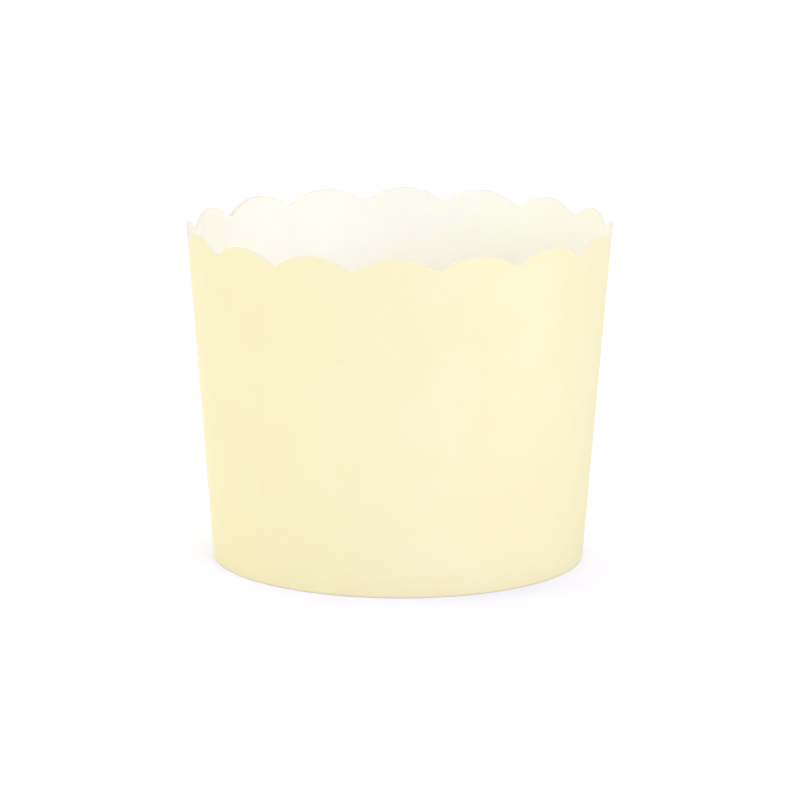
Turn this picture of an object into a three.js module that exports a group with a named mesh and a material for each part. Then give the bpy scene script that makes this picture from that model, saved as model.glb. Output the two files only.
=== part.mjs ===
// Smooth card baking cup with a scalloped rim, in two pieces. The wall is one fan-shaped blank, rolled into a
// cone and glued along a lap. The base is a round card with a turned-down skirt, which the wall's lower edge
// holds where it is folded in and up. Millimetres, +Z up. The origin is the centre of the ring that the cup
// stands on, and -Y is the front. Angles are degrees round from the front towards +X.

import * as THREE from "three";
import { LoftGeometry } from "three/addons/geometries/LoftGeometry.js";
import { mergeVertices } from "three/addons/utils/BufferGeometryUtils.js";

// Driving dimensions of the wall
const footRadius = 25; // outside of the wall where the cup stands
const rimRadius = 28.5; // outside of the wall at the scallops' tops
const cupHeight = 45.5; // from the table to the scallops' tops
const cardThickness = 0.35;

// Scallops cut into the rim
const scallopCount = 16;
const scallopDepth = 1.8; // from a scallop's top to the bottom of the notch beside it
const scallopFlankAngle = 27; // slope of a scallop's straight sides
const seamNotchWidth = 0.9; // flat bottom of the notch at the lap's outer edge
const seamNotchSideRun = 0.05; // width over which that notch's steep sides rise

// Glued lap
const lapEdgeAngle = 235.4; // where the lap's outer edge lies, in the bottom of a notch
const lapScallops = 1; // scallops that the lap covers
const liftScallops = 1; // scallops over which the outer flap climbs on to the inner one

// Base and the wall's folded lower edge
const hemHeight = 3.8; // height of the folded-in edge above the table
const baseUndersideHeight = 5; // recess under the base
const baseCardThickness = 0.35;
const paperGap = 0.15; // left between layers of card that are pressed together
const foldRadius = 0.3; // outside of the card's folds

// Fineness of the curved surfaces
const scallopSegments = 12;
const baseSegments = 128;
const foldSegments = 3;

const wallSlope = (rimRadius - footRadius) / cupHeight;
const radialThickness = cardThickness * Math.hypot(1, wallSlope);
const radialBaseThickness = baseCardThickness * Math.hypot(1, wallSlope);
const scallopPitch = 360 / scallopCount;

// Radius of the wall's outside at height z, away from the lap
const outsideRadius = (z) => footRadius + wallSlope * z;
const insideRadius = (z) => outsideRadius(z) - radialThickness;
const skirtRadius = (z) => insideRadius(z) - paperGap;
const hemRadius = (z) => skirtRadius(z) - radialBaseThickness - paperGap;

// Points of a quarter-round fold, from angle `from` to angle `to` round its centre at radius r and height z
function foldPoints(r, z, from, to) {
  const arc = new THREE.EllipseCurve(
    r, z, foldRadius, foldRadius,
    THREE.MathUtils.degToRad(from), THREE.MathUtils.degToRad(to), to < from,
  );
  return arc.getPoints(foldSegments);
}

// Closed mesh whose faces share their corners, with the faces that have no area left out
function closedSurface(geometry) {
  const bare = new THREE.BufferGeometry();
  bare.setAttribute("position", geometry.getAttribute("position"));
  bare.setIndex(geometry.index);
  const merged = mergeVertices(bare, 1e-4);
  const corners = merged.index.array;
  const kept = [];
  for (let i = 0; i < corners.length; i += 3) {
    const [a, b, c] = corners.slice(i, i + 3);
    if (a !== b && b !== c && c !== a) kept.push(a, b, c);
  }
  merged.setIndex(kept);
  merged.computeVertexNormals();
  return merged;
}

// Height of the rim at a turn of `angle` from the lap's outer edge. Each scallop is an arc with straight sides
// that meet the next scallop's in a V-shaped notch.
function rimHeight(angle) {
  const arcPerDegree = THREE.MathUtils.degToRad(rimRadius);
  const halfPitch = (arcPerDegree * scallopPitch) / 2;
  const flank = THREE.MathUtils.degToRad(scallopFlankAngle);
  const crownRadius = (halfPitch * Math.tan(flank) - scallopDepth) / (1 / Math.cos(flank) - 1);
  const fromSeam = arcPerDegree * Math.min(angle, 360 - angle);
  if (fromSeam <= seamNotchWidth / 2) return cupHeight - scallopDepth;
  const fromCrown = Math.abs(arcPerDegree * (angle % scallopPitch) - halfPitch);
  const arcReach = crownRadius * Math.sin(flank);
  if (fromCrown <= arcReach) {
    return cupHeight - crownRadius + Math.sqrt(crownRadius ** 2 - fromCrown ** 2);
  }
  return cupHeight - crownRadius * (1 - Math.cos(flank)) - (fromCrown - arcReach) * Math.tan(flank);
}

// The wall's closed section at a turn of `angle` from the lap's outer edge. outerLift and innerLift say how far
// the two faces stand out from the plain cone, in thicknesses of the card.
function wallSection(angle, outerLift, innerLift) {
  const top = rimHeight(angle);
  const outerStep = outerLift * radialThickness;
  const innerStep = innerLift * radialThickness;
  const channelFloor = cardThickness;
  const hemInside = (z) => hemRadius(z) - radialThickness;
  const point = (r, z) => new THREE.Vector2(r, z);
  const outline = [
    ...foldPoints(outsideRadius(foldRadius) - foldRadius + outerStep, foldRadius, 360, 270),
    point(outsideRadius(foldRadius) - foldRadius, 0),
    ...foldPoints(hemInside(foldRadius) + foldRadius, foldRadius, 270, 180),
    point(hemInside(hemHeight), hemHeight),
    point(hemRadius(hemHeight), hemHeight),
    point(hemRadius(channelFloor), channelFloor),
    point(insideRadius(channelFloor), channelFloor),
    point(insideRadius(channelFloor) + innerStep, channelFloor),
    point(insideRadius(top) + innerStep, top),
    point(outsideRadius(top), top),
    point(outsideRadius(top) + outerStep, top),
  ];
  const turn = THREE.MathUtils.degToRad(lapEdgeAngle + angle);
  return outline.map((p) => new THREE.Vector3(p.x * Math.sin(turn), -p.x * Math.cos(turn), p.y));
}

// Turns, from 0 to 360, at which the wall has a section
function sectionAngles() {
  const degreesPerArc = THREE.MathUtils.radToDeg(1 / rimRadius);
  const notchSide = (degreesPerArc * seamNotchWidth) / 2;
  const notchTop = notchSide + degreesPerArc * seamNotchSideRun;
  const angles = new Set([notchSide, notchTop, 360 - notchTop, 360 - notchSide]);
  const steps = scallopCount * scallopSegments;
  for (let i = 0; i <= steps; i++) angles.add((360 * i) / steps);
  return [...angles].sort((a, b) => a - b);
}

// The wall: a plain cone from the lap's outer edge on, which lifts over its own start and ends as the outer flap
function makeWall() {
  const lapStart = 360 - lapScallops * scallopPitch;
  const liftStart = lapStart - liftScallops * scallopPitch;
  const sections = [];
  for (const angle of sectionAngles()) {
    const lift = THREE.MathUtils.clamp((angle - liftStart) / (lapStart - liftStart), 0, 1);
    const inLap = angle > lapStart;
    sections.push(wallSection(angle, lift, inLap ? 0 : lift));
    if (angle === lapStart) sections.push(wallSection(angle, lift, 0));
  }
  sections.push(sections[0]);
  return closedSurface(new LoftGeometry(sections));
}

// The base: a flat disc whose edge turns down into the channel between the wall and its folded edge
function makeBase() {
  const top = baseUndersideHeight + baseCardThickness;
  const skirtFoot = cardThickness + paperGap;
  const skirtInside = (z) => skirtRadius(z) - radialBaseThickness;
  const foldHeight = top - foldRadius;
  const profile = [
    new THREE.Vector2(0, baseUndersideHeight),
    new THREE.Vector2(skirtInside(baseUndersideHeight), baseUndersideHeight),
    new THREE.Vector2(skirtInside(skirtFoot), skirtFoot),
    new THREE.Vector2(skirtRadius(skirtFoot), skirtFoot),
    ...foldPoints(skirtRadius(foldHeight) - foldRadius, foldHeight, 0, 90),
    new THREE.Vector2(0, top),
  ];
  return closedSurface(new THREE.LatheGeometry(profile, baseSegments).rotateX(Math.PI / 2));
}

function makePiece(name, geometry, material) {
  const mesh = new THREE.Mesh(geometry, material);
  mesh.name = name;
  return mesh;
}

const yellowCard = new THREE.MeshStandardMaterial({ color: 0xfef3ca, roughness: 0.7, metalness: 0 });
const whiteCard = new THREE.MeshStandardMaterial({ color: 0xf9f6ea, roughness: 0.75, metalness: 0 });

const cup = new THREE.Group();
cup.add(makePiece("side_wall", makeWall(), yellowCard));
cup.add(makePiece("base_disc", makeBase(), whiteCard));

export default cup;
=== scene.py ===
"""Smooth card baking cup with a scalloped rim, standing on a white table.

The wall is one sheet of card, yellow outside and white inside. It is rolled into a cone whose ends lap, and
its lower edge is folded in and up round the skirt of a separate white base. Metres, +Z up, and -Y is the
front. Turns round the cup are angles counted from the front towards +X.
"""

import math

import bmesh
import bpy
from mathutils import Matrix, Vector


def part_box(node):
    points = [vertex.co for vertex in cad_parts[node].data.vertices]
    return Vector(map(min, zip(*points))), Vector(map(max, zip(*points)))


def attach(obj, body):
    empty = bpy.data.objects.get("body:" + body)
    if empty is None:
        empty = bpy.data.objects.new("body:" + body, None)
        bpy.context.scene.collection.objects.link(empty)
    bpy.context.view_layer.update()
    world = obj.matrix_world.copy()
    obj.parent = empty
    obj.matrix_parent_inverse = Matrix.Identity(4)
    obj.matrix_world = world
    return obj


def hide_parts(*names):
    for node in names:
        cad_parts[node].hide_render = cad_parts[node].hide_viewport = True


MM = 0.001

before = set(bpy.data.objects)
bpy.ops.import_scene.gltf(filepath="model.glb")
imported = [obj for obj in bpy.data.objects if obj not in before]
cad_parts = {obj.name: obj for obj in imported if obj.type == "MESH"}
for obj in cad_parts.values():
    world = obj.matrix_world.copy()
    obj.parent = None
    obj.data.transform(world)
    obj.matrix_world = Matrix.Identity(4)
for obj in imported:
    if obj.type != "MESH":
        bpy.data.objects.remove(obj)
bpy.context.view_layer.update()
wall_low, wall_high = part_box("side_wall")
_, base_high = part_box("base_disc")

# The wall
HEIGHT = wall_high.z
RIM_RADIUS = (wall_high.y - wall_low.y) / 2
FOOT_RADIUS = 25 * MM
SLOPE = (RIM_RADIUS - FOOT_RADIUS) / HEIGHT
CARD = 0.35 * MM
WALL = CARD * math.hypot(1, SLOPE)  # the card's thickness, measured level
CUT_ROUNDING = 0.05 * MM

# The scallops
SCALLOPS = 16
PITCH = math.tau / SCALLOPS
SCALLOP_DEPTH = 1.8 * MM
FLANK = math.radians(27)  # slope of a scallop's straight sides
NOTCH_FILLET = 0.3 * MM
RIM_TILT = 0.18 * MM  # how far the rim's high side stands over its middle
RIM_HIGH_TURN = math.radians(80)

# The flat notch at the lap, in arc lengths from the lap's edge
SEAM_NOTCH_START = -0.45 * MM
SEAM_NOTCH_WIDTH = 1.8 * MM
SEAM_NOTCH_SIDE = 0.08 * MM

# The glued lap, where the outer flap's scallop doesn't quite cover the inner one's
LAP_EDGE = math.radians(235.4)  # turn of the outer flap's free edge
LAP = PITCH
LIFT_START = math.tau - 2 * PITCH  # the outer flap climbs on to the inner one from here on
LIFT_END = math.tau - PITCH
GLUE = 0.01 * MM
LAP_SLIP = 0.35 * MM  # how far the outer flap's scallop lies beside the inner one's
LAP_SKEW = 0.06 * MM  # how far it stands over the inner one's

# The folded foot
PAPER_GAP = 0.15 * MM
FOLD_OUTSIDE = 0.2 * MM
FOLD_INSIDE = 0.05 * MM
HEM_HEIGHT = 3.8 * MM
HEM_CRIMPS = 96
HEM_CRIMP_DEPTH = 0.03 * MM

# The base
BASE_TOP = base_high.z
BASE_SAG = 0.12 * MM
SKIRT_PLEATS = 72
SKIRT_PLEAT_DEPTH = 0.025 * MM

# Slight unevenness of the wall and of its rim, as (waves round the cup, height in millimetres, phase) rows
WALL_RIPPLES = ((7, 0.014, 1.3), (11, 0.010, 0.4))
RIM_RIPPLES = ((5, 0.035, 2.1), (13, 0.025, 0.7))
RIPPLES_FROM = 0.1  # where each starts, as a share of the wall's height
RIM_RIPPLES_FROM = 0.88

# Finish of a face of the wall, as the index of its material
PRINTED_SIDE = 0
PLAIN_SIDE = 1
CUT_EDGE = 2

SHARP_ANGLE = math.radians(40)  # faces that meet more sharply than this keep a hard edge

# The camera, found from the cup's outline in the photograph
FRAME_PIXELS = 800
FOCAL_PIXELS = 4506
CENTRE_PIXEL = (398.7, 388.0)
CAMERA_DISTANCE = 606.9 * MM
CAMERA_ELEVATION = math.radians(11.92)
CAMERA_ROLL = math.radians(0.25)
SENSOR_WIDTH_MM = 36

# The table and the lamps
TABLE_RADIUS = 1.05
LAMP_SIZE = 0.8
LAMP_DISTANCE = 1.2


def smooth(x):
    """Smooth step from 0 to 1 as x goes from 0 to 1."""
    x = min(max(x, 0), 1)
    return x * x * (3 - 2 * x)


def spread(first, last, count):
    """Evenly spaced numbers from first to last."""
    return [first + (last - first) * i / (count - 1) for i in range(count)]


def outside_radius(z):
    """Radius of the wall's outside at height z."""
    return FOOT_RADIUS + SLOPE * z


def inside_radius(z):
    """Radius of the wall's inside at height z."""
    return outside_radius(z) - WALL


def skirt_radius(z):
    """Outer radius of the base's skirt at height z."""
    return inside_radius(z) - PAPER_GAP


def hem_radius(z):
    """Radius of the wall's folded edge at height z, on the side of the skirt."""
    return skirt_radius(z) - WALL - PAPER_GAP


def arc_points(radius, z, size, start, end, count):
    """Points of a quarter circle round (radius, z), without its first one. Angles are in degrees."""
    turns = [math.radians(a) for a in spread(start, end, count + 1)[1:]]
    return [(radius + size * math.cos(t), z + size * math.sin(t)) for t in turns]


def scallop_drop(arc):
    """How far the rim lies under the scallops' tops, at an arc length from a notch."""
    half = RIM_RADIUS * PITCH / 2
    crown = (half * math.tan(FLANK) - SCALLOP_DEPTH) / (1 / math.cos(FLANK) - 1)
    reach = crown * math.sin(FLANK)
    from_notch = abs((arc + half) % (2 * half) - half)
    from_crown = half - from_notch
    if from_notch < NOTCH_FILLET * math.sin(FLANK):
        fillet = math.sqrt(NOTCH_FILLET**2 - from_notch**2)
        return SCALLOP_DEPTH - NOTCH_FILLET / math.cos(FLANK) + fillet
    round_part = crown - math.sqrt(crown**2 - min(from_crown, reach) ** 2)
    return round_part + max(from_crown - reach, 0) * math.tan(FLANK)


def rim_height(past_edge):
    """Height of the rim at a turn past the lap's edge, which is negative on the inner flap."""
    full_circle = RIM_RADIUS * math.tau
    arc = past_edge * RIM_RADIUS * (1 + LAP_SLIP / full_circle)
    tilt = RIM_TILT * math.cos(LAP_EDGE + past_edge - RIM_HIGH_TURN)
    top = HEIGHT + tilt + LAP_SKEW * (past_edge / math.tau - 0.5)
    plain = top - scallop_drop(arc)
    middle = SEAM_NOTCH_START + SEAM_NOTCH_WIDTH / 2
    from_middle = min(abs(arc - middle), abs(arc - full_circle - LAP_SLIP - middle))
    in_notch = 1 - smooth((from_middle - SEAM_NOTCH_WIDTH / 2) / SEAM_NOTCH_SIDE)
    return plain + in_notch * min(top - SCALLOP_DEPTH - plain, 0)


def ripple(rows, turn):
    """Sum of the waves in these rows at a turn, in millimetres."""
    return sum(height * math.sin(waves * turn + phase) for waves, height, phase in rows)


def out_of_round(turn, z):
    """How far the wall stands out from a true cone, which grows towards its free edge."""
    share = z / HEIGHT
    on_wall = smooth((share - RIPPLES_FROM) / (1 - RIPPLES_FROM))
    near_rim = smooth((share - RIM_RIPPLES_FROM) / (1 - RIM_RIPPLES_FROM))
    return (ripple(WALL_RIPPLES, turn) * on_wall + ripple(RIM_RIPPLES, turn) * near_rim) * MM


# Rows of the wall, as shares of the way down from the rim. They crowd at both ends.
WALL_ROWS = [0, 0.002, 0.006, 0.014, *spread(0.03, 0.985, 24), 0.996, 1]


def wall_section(top, lift):
    """Section of the card under a rim at height `top`, as (radius, height) pairs: the printed side and the
    plain side, each from the rim down and round the foot, then the cut edges of the rim and of the hem.
    `lift` moves the wall out, over the flap beneath it."""
    fold_steps = 5
    flat_points = 4
    hem_rows = 8
    channel = CARD  # height of the folded foot's floor, which the skirt just clears
    rim_row = top - CUT_ROUNDING
    wall_foot = channel + FOLD_INSIDE
    heights = [rim_row + (wall_foot - rim_row) * share for share in WALL_ROWS]
    printed = [(outside_radius(z) + lift, z) for z in heights]
    plain = [(inside_radius(z) + lift, z) for z in heights]

    outer = outside_radius(FOLD_OUTSIDE) - FOLD_OUTSIDE + lift
    inner = hem_radius(FOLD_OUTSIDE) - WALL + FOLD_OUTSIDE
    printed += arc_points(outer, FOLD_OUTSIDE, FOLD_OUTSIDE, 0, -90, fold_steps)
    printed += [(r, 0) for r in spread(outer, inner, flat_points)[1:]]
    printed += arc_points(inner, FOLD_OUTSIDE, FOLD_OUTSIDE, -90, -180, fold_steps)

    outer = inside_radius(channel) - FOLD_INSIDE + lift
    inner = hem_radius(channel) + FOLD_INSIDE
    plain += arc_points(outer, wall_foot, FOLD_INSIDE, 0, -90, fold_steps)
    plain += [(r, channel) for r in spread(outer, inner, flat_points)[1:]]
    plain += arc_points(inner, wall_foot, FOLD_INSIDE, -90, -180, fold_steps)

    for z in spread(wall_foot, HEM_HEIGHT - CUT_ROUNDING, hem_rows)[1:]:
        printed.append((hem_radius(z) - WALL, z))
        plain.append((hem_radius(z), z))
    rim_cut = cut_points(plain[0], printed[0])
    hem_cut = cut_points(printed[-1], plain[-1])
    return printed, plain, rim_cut, hem_cut


def cut_points(start, end):
    """Points over a cut edge that faces up, from the side at `start` to the side at `end`."""
    steps = 4
    r, z = start
    far, far_z = end
    side = math.copysign(CUT_ROUNDING, far - r)
    over = []
    for angle in spread(0, math.pi / 2, steps + 1)[1:]:
        over.append((side * (1 - math.cos(angle)), CUT_ROUNDING * math.sin(angle)))
    near_side = [(r + inset, z + rise) for inset, rise in over]
    far_side = [(far - inset, far_z + rise) for inset, rise in reversed(over)]
    return near_side + far_side


def sheet_columns():
    """Where the sheet has a section: turns past the lap's edge, and the card's thickness there as a share.
    The columns crowd round the notches, and the card thins at both ends, which rounds its cut edges."""
    per_scallop = 32
    crowding = 0.8
    end_steps = 3
    turns = set()
    for i in range((SCALLOPS + 1) * per_scallop + 1):
        step = i / per_scallop
        turns.add(PITCH * (step - crowding * math.sin(math.tau * step) / math.tau) - LAP)
    for share in (0, 0.5, 1):
        before = (SEAM_NOTCH_START - share * SEAM_NOTCH_SIDE) / RIM_RADIUS
        after = (SEAM_NOTCH_START + SEAM_NOTCH_WIDTH + share * SEAM_NOTCH_SIDE) / RIM_RADIUS
        turns |= {before, after, math.tau + before}
    turns.add(0)
    first, last = -LAP, math.tau
    rounded = []
    for angle in spread(0, math.pi / 2, end_steps + 1):
        along = CUT_ROUNDING * (1 - math.cos(angle)) / RIM_RADIUS
        rounded.append((along, 1 - 2 * CUT_ROUNDING / CARD * (1 - math.sin(angle))))
    margin = 2 * CUT_ROUNDING / RIM_RADIUS
    between = [(t, 1) for t in sorted(turns) if first + margin < t < last - margin]
    start = [(first + along, share) for along, share in rounded]
    end = [(last - along, share) for along, share in reversed(rounded)]
    return start + between + end


def thinned(side, other, share):
    """Points of one side moved towards the other side, to leave that share of the thickness."""
    keep, give = (1 + share) / 2, (1 - share) / 2
    return [(r * keep + s * give, z * keep + y * give) for (r, z), (s, y) in zip(side, other)]


def at_turn(radius, z, turn):
    """The point at a radius, height and turn."""
    return (radius * math.sin(turn), -radius * math.cos(turn), z)


def make_wall(materials):
    """The rolled sheet of card. Its inner flap ends above the foot, which only the outer flap goes round."""
    columns = sheet_columns()
    points = []
    for past_edge, thickness in columns:
        lift = (WALL + GLUE) * smooth((past_edge - LIFT_START) / (LIFT_END - LIFT_START))
        printed, plain, rim_cut, hem_cut = wall_section(rim_height(past_edge), lift)
        if thickness < 1:
            printed, plain = thinned(printed, plain, thickness), thinned(plain, printed, thickness)
            rim_cut = thinned(rim_cut, rim_cut[::-1], thickness)
            hem_cut = thinned(hem_cut, hem_cut[::-1], thickness)
        turn = LAP_EDGE + past_edge
        for index, (r, z) in enumerate(printed + hem_cut + plain[::-1] + rim_cut):
            on_hem = r < hem_radius(z) + PAPER_GAP / 2 and z > CARD
            crimp = HEM_CRIMP_DEPTH * math.cos(HEM_CRIMPS * turn) * smooth(z / HEM_HEIGHT) if on_hem else 0
            points.append(at_turn(r + out_of_round(turn, z) + crimp, z, turn))

    # Each column is a ring of points: down the printed side, over the hem's cut edge, up the plain side and
    # over the rim's cut edge.
    side, cut, wall = len(printed), len(rim_cut), len(WALL_ROWS)
    ring = len(points) // len(columns)
    hem_start, plain_start, rim_start = side, side + cut, 2 * side + cut
    full_ring = list(range(ring))
    flap_ring = list(range(wall)) + list(range(rim_start - wall, ring))
    lap_edge = next(i for i, (past_edge, _) in enumerate(columns) if past_edge == 0)

    def finish_of(index):
        """Finish of the face between this point of the ring and the next one."""
        if index < hem_start:
            return PRINTED_SIDE
        return PLAIN_SIDE if plain_start <= index < rim_start - 1 else CUT_EDGE

    faces, finishes = [], []
    for column in range(len(columns) - 1):
        here, there = column * ring, (column + 1) * ring
        loop = flap_ring if column < lap_edge else full_ring
        for a, b in zip(loop, loop[1:] + loop[:1]):
            faces.append((here + a, here + b, there + b, there + a))
            # where the inner flap's loop skips the foot's points, a cut edge closes it
            finishes.append(finish_of(a) if abs(a - b) == 1 or b == 0 else CUT_EDGE)

    def close(column, first_row, last_row):
        """Closes the sheet across its thickness at a column, between two rows counted from the rim."""
        start = column * ring
        for row in range(first_row, last_row):
            plain_row = rim_start - 1 - row
            faces.append((start + row, start + row + 1, start + plain_row - 1, start + plain_row))
            finishes.append(CUT_EDGE)
        if first_row == 0:
            faces.append((start, start + rim_start - 1, *range(start + rim_start, start + ring)))
            finishes.append(CUT_EDGE)
        if last_row == side - 1:
            faces.append(tuple(range(start + side - 1, start + plain_start + 1)))
            finishes.append(CUT_EDGE)

    close(0, 0, wall - 1)
    close(lap_edge, wall - 1, side - 1)
    close(len(columns) - 1, 0, side - 1)
    return new_piece("rolled_wall", points, faces, finishes, materials)


def make_base(material):
    """The base: a disc whose edge turns down into a skirt, with the small pleats that the fold leaves."""
    radial_segments = 288
    disc_points = 16
    skirt_rows = 9
    outer_fold_steps = 6
    inner_fold_steps = 3
    skirt_foot = CARD + PAPER_GAP
    underside = BASE_TOP - CARD
    edge = skirt_radius(BASE_TOP - FOLD_OUTSIDE)
    skirt_z = spread(BASE_TOP - FOLD_OUTSIDE, skirt_foot + CUT_ROUNDING, skirt_rows)[1:]
    inner_edge = skirt_radius(underside - FOLD_INSIDE) - WALL

    profile = [(r, BASE_TOP) for r in spread(0, edge - FOLD_OUTSIDE, disc_points)[1:]]
    fold_z = BASE_TOP - FOLD_OUTSIDE
    profile += arc_points(edge - FOLD_OUTSIDE, fold_z, FOLD_OUTSIDE, 90, 0, outer_fold_steps)
    profile += [(skirt_radius(z), z) for z in skirt_z]
    low = skirt_z[-1]
    facing_up = cut_points((skirt_radius(low), low), (skirt_radius(low) - WALL, low))
    profile += [(r, 2 * low - z) for r, z in facing_up]
    profile += [(skirt_radius(z) - WALL, z) for z in reversed(skirt_z)]
    fold_z = underside - FOLD_INSIDE
    profile += arc_points(inner_edge - FOLD_INSIDE, fold_z, FOLD_INSIDE, 0, 90, inner_fold_steps)
    profile += [(r, underside) for r in spread(inner_edge - FOLD_INSIDE, 0, disc_points)[1:-1]]

    def placed(r, z, turn):
        """The point, with the disc's sag or the skirt's pleat added."""
        sag = BASE_SAG * (1 - (r / edge) ** 2)
        below_fold = smooth((BASE_TOP - z) / (BASE_TOP - skirt_foot)) if r > inner_edge - WALL else 0
        pleat = SKIRT_PLEAT_DEPTH * math.sin(SKIRT_PLEATS * turn) * below_fold
        return at_turn(r + pleat, z - sag, turn)

    points = [placed(0, BASE_TOP, 0), placed(0, underside, 0)]
    for i in range(radial_segments):
        turn = math.tau * i / radial_segments
        points += [placed(r, z, turn) for r, z in profile]
    ring = len(profile)
    faces = []
    for i in range(radial_segments):
        here = 2 + i * ring
        there = 2 + (i + 1) % radial_segments * ring
        faces.append((0, here, there))
        faces.append((1, there + ring - 1, here + ring - 1))
        for j in range(ring - 1):
            faces.append((here + j, here + j + 1, there + j + 1, there + j))
    return new_piece("base_card", points, faces, [0] * len(faces), [material])


def new_piece(name, points, faces, finishes, materials):
    """A smooth-shaded object of these faces. finishes gives the index of each face's material."""
    mesh = bpy.data.meshes.new(name)
    mesh.from_pydata(points, [], faces)
    for material in materials:
        mesh.materials.append(material)
    mesh.polygons.foreach_set("material_index", finishes)
    shape = bmesh.new()
    shape.from_mesh(mesh)
    bmesh.ops.delete(shape, geom=[v for v in shape.verts if not v.link_faces], context="VERTS")
    bmesh.ops.recalc_face_normals(shape, faces=shape.faces)
    for face in shape.faces:
        face.smooth = True
    shape.to_mesh(mesh)
    shape.free()
    mesh.set_sharp_from_angle(angle=SHARP_ANGLE)
    piece = bpy.data.objects.new(name, mesh)
    bpy.context.scene.collection.objects.link(piece)
    return piece


def new_material(name):
    """An empty node material, with its Principled shader and its output."""
    material = bpy.data.materials.new(name)
    material.use_nodes = True
    tree = material.node_tree
    return material, tree, tree.nodes["Principled BSDF"], tree.nodes["Material Output"]


def noise(tree, per_mm, detail, roughness, squash=(1, 1, 1)):
    """A noise texture in the piece's own frame, with that many features in a millimetre."""
    place = tree.nodes.new("ShaderNodeTexCoord")
    scale = tree.nodes.new("ShaderNodeMapping")
    scale.inputs["Scale"].default_value = [per_mm / MM * s for s in squash]
    texture = tree.nodes.new("ShaderNodeTexNoise")
    texture.inputs["Scale"].default_value = 1
    texture.inputs["Detail"].default_value = detail
    texture.inputs["Roughness"].default_value = roughness
    tree.links.new(place.outputs["Object"], scale.inputs["Vector"])
    tree.links.new(scale.outputs["Vector"], texture.inputs["Vector"])
    return texture.outputs["Fac"]


def ramp(tree, value, low, high, first, last):
    """Two colours, or two greys, mixed as a value goes from low to high."""
    node = tree.nodes.new("ShaderNodeValToRGB")
    ends = node.color_ramp.elements
    ends[0].position, ends[0].color = low, first
    ends[1].position, ends[1].color = high, last
    tree.links.new(value, node.inputs["Fac"])
    return node.outputs["Color"]


def grey(level):
    """An opaque grey of this level."""
    return (level, level, level, 1)


def tinted(tree, base, value, low, high, share):
    """A colour darkened by up to a share where a value is low."""
    mix = tree.nodes.new("ShaderNodeMix")
    mix.data_type = "RGBA"
    mix.blend_type = "MULTIPLY"
    mix.inputs["Factor"].default_value = 1
    tree.links.new(base, mix.inputs["A"])
    shade = ramp(tree, value, low, high, grey(1 - share), grey(1))
    tree.links.new(shade, mix.inputs["B"])
    return mix.outputs["Result"]


def bumped(tree, shader, heights):
    """Adds bumps to a shader, from (value, depth in millimetres, strength) rows."""
    normal = None
    for value, depth, strength in heights:
        bump = tree.nodes.new("ShaderNodeBump")
        bump.inputs["Distance"].default_value = depth * MM
        bump.inputs["Strength"].default_value = strength
        tree.links.new(value, bump.inputs["Height"])
        if normal:
            tree.links.new(normal, bump.inputs["Normal"])
        normal = bump.outputs["Normal"]
    tree.links.new(normal, shader.inputs["Normal"])


def card_material(name, light, deep, roughness):
    """Coated card: two close tints in soft clouds, a fine mottle, and a pebbled grain in the coating."""
    material, tree, shader, _ = new_material(name)
    clouds = noise(tree, per_mm=0.12, detail=3, roughness=0.5)
    mottle = noise(tree, per_mm=0.9, detail=4, roughness=0.6)
    grain = noise(tree, per_mm=2.6, detail=3, roughness=0.55)
    fibres = noise(tree, per_mm=1.1, detail=5, roughness=0.65, squash=(1, 1, 0.35))
    colour = ramp(tree, clouds, 0.35, 0.65, (*deep, 1), (*light, 1))
    colour = tinted(tree, colour, mottle, low=0.3, high=0.6, share=0.012)
    colour = tinted(tree, colour, grain, low=0.35, high=0.55, share=0.008)
    tree.links.new(colour, shader.inputs["Base Color"])
    gloss = ramp(tree, mottle, 0.3, 0.7, grey(roughness - 0.05), grey(roughness + 0.05))
    tree.links.new(gloss, shader.inputs["Roughness"])
    shader.inputs["Specular IOR Level"].default_value = 0.4
    bumped(tree, shader, ((fibres, 0.03, 0.25), (grain, 0.02, 0.3)))
    return material


def cut_material():
    """The raw core of the card where a die has cut it: cream, rough and fibrous."""
    material, tree, shader, _ = new_material("cut_card")
    fibres = noise(tree, per_mm=3.5, detail=4, roughness=0.7, squash=(1, 1, 2.5))
    colour = ramp(tree, fibres, 0.3, 0.7, (0.68, 0.655, 0.6, 1), (0.8, 0.77, 0.69, 1))
    tree.links.new(colour, shader.inputs["Base Color"])
    shader.inputs["Roughness"].default_value = 0.9
    shader.inputs["Specular IOR Level"].default_value = 0.2
    bumped(tree, shader, ((fibres, 0.03, 0.6),))
    return material


def seen_rays(tree):
    """1 for rays from the camera, mirrored or seen through something clear, and 0 for those that only carry
    light to a surface."""
    path = tree.nodes.new("ShaderNodeLightPath")
    seen = path.outputs["Is Camera Ray"]
    for ray in ("Is Glossy Ray", "Is Transmission Ray"):
        either = tree.nodes.new("ShaderNodeMath")
        either.operation = "MAXIMUM"
        tree.links.new(seen, either.inputs[0])
        tree.links.new(path.outputs[ray], either.inputs[1])
        seen = either.outputs["Value"]
    return seen


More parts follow.
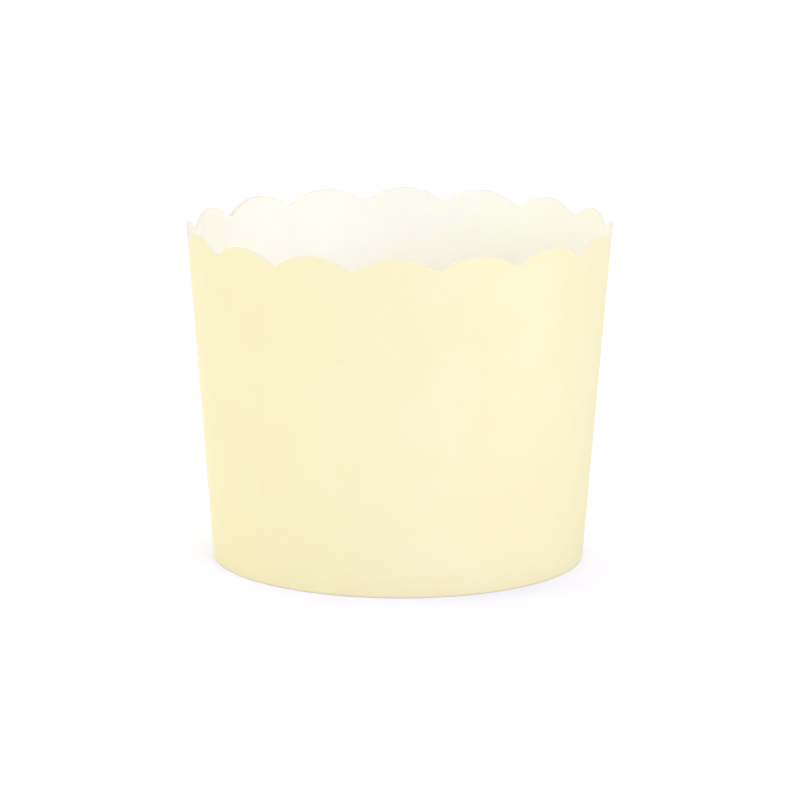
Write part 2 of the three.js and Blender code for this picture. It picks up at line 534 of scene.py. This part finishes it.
def make_floor():
    """A round white table. Its own colour is slightly warm. Where it is seen, a faint cool glow is added, so
    that it is plain white round the cup and keeps the soft shadow under it."""
    bpy.ops.mesh.primitive_circle_add(vertices=96, radius=TABLE_RADIUS, fill_type="NGON")
    floor = bpy.context.object
    floor.name = "table"
    material, tree, shader, output = new_material("table_white")
    shader.inputs["Base Color"].default_value = (0.91, 0.88, 0.86, 1)
    shader.inputs["Roughness"].default_value = 1
    shader.inputs["Specular IOR Level"].default_value = 0
    glow = tree.nodes.new("ShaderNodeEmission")
    glow.inputs["Color"].default_value = (0.15, 0.32, 1, 1)
    level = tree.nodes.new("ShaderNodeMath")
    level.operation = "MULTIPLY"
    level.inputs[1].default_value = 0.2
    tree.links.new(seen_rays(tree), level.inputs[0])
    tree.links.new(level.outputs["Value"], glow.inputs["Strength"])
    both = tree.nodes.new("ShaderNodeAddShader")
    tree.links.new(shader.outputs["BSDF"], both.inputs[0])
    tree.links.new(glow.outputs["Emission"], both.inputs[1])
    tree.links.new(both.outputs["Shader"], output.inputs["Surface"])
    floor.data.materials.append(material)


def make_world():
    """An even, faintly warm surround that lights the cup, and is plain white where it is seen."""
    world = bpy.data.worlds.new("studio")
    bpy.context.scene.world = world
    world.use_nodes = True
    tree = world.node_tree
    lit = tree.nodes["Background"]
    lit.inputs["Color"].default_value = (1, 1, 0.9, 1)
    lit.inputs["Strength"].default_value = 0.715
    white = tree.nodes.new("ShaderNodeBackground")
    white.inputs["Color"].default_value = (1, 1, 1, 1)
    pick = tree.nodes.new("ShaderNodeMixShader")
    tree.links.new(seen_rays(tree), pick.inputs["Fac"])
    tree.links.new(lit.outputs["Background"], pick.inputs[1])
    tree.links.new(white.outputs["Background"], pick.inputs[2])
    tree.links.new(pick.outputs["Shader"], tree.nodes["World Output"].inputs["Surface"])


def make_lamp(name, turn, elevation, watts, colour):
    """A square soft lamp aimed at the middle of the cup, at a turn and elevation in degrees."""
    data = bpy.data.lights.new(name, "AREA")
    data.shape = "SQUARE"
    data.size = LAMP_SIZE
    data.energy = watts
    data.color = colour
    lamp = bpy.data.objects.new(name, data)
    bpy.context.scene.collection.objects.link(lamp)
    level = math.cos(math.radians(elevation)) * LAMP_DISTANCE
    rise = math.sin(math.radians(elevation)) * LAMP_DISTANCE
    turn = math.radians(turn)
    target = Vector((0, 0, HEIGHT / 2))
    offset = Vector((level * math.sin(turn), -level * math.cos(turn), rise))
    lamp.location = target + offset
    lamp.rotation_mode = "QUATERNION"
    lamp.rotation_quaternion = (-offset).to_track_quat("-Z", "Y")


def make_camera():
    """The photograph's camera: it looks at the cup so that the cup's centre falls on its pixel."""
    data = bpy.data.cameras.new("camera")
    data.sensor_width = SENSOR_WIDTH_MM
    data.lens = FOCAL_PIXELS * SENSOR_WIDTH_MM / FRAME_PIXELS
    data.clip_start = 10 * MM
    camera = bpy.data.objects.new("camera", data)
    bpy.context.scene.collection.objects.link(camera)
    level = CAMERA_DISTANCE * math.cos(CAMERA_ELEVATION)
    camera.location = (0, -level, HEIGHT / 2 + CAMERA_DISTANCE * math.sin(CAMERA_ELEVATION))
    right_of_middle = math.atan((CENTRE_PIXEL[0] - FRAME_PIXELS / 2) / FOCAL_PIXELS)
    over_middle = math.atan((FRAME_PIXELS / 2 - CENTRE_PIXEL[1]) / FOCAL_PIXELS)
    down = CAMERA_ELEVATION + over_middle
    turned = Matrix.Rotation(right_of_middle, 4, "Z") @ Matrix.Rotation(math.pi / 2 - down, 4, "X")
    camera.matrix_world = Matrix.Translation(camera.location) @ turned @ Matrix.Rotation(CAMERA_ROLL, 4, "Z")
    bpy.context.scene.camera = camera


def main():
    """The photograph's view and light, and the two pieces of card over their CAD nodes."""
    bpy.context.scene.view_settings.view_transform = "Standard"
    make_camera()
    make_world()
    make_floor()
    make_lamp("key", turn=30, elevation=25, watts=6.9, colour=(0.7, 0.7, 1))
    make_lamp("left", turn=-90, elevation=20, watts=4.2, colour=(0.97, 0.97, 1))
    make_lamp("right", turn=90, elevation=20, watts=0.5, colour=(1, 0.9, 0.3))
    make_lamp("behind", turn=180, elevation=76, watts=4.9, colour=(1, 1, 0.95))

    printed = card_material(
        "yellow_print", light=(0.838, 0.797, 0.52), deep=(0.832, 0.782, 0.496), roughness=0.55
    )
    plain = card_material(
        "white_coating", light=(0.955, 0.945, 0.855), deep=(0.945, 0.93, 0.84), roughness=0.55
    )
    wall = make_wall([printed, plain, cut_material()])
    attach(wall, "root")
    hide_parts("side_wall")

    base = make_base(plain)
    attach(base, "root")
    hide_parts("base_disc")


main()
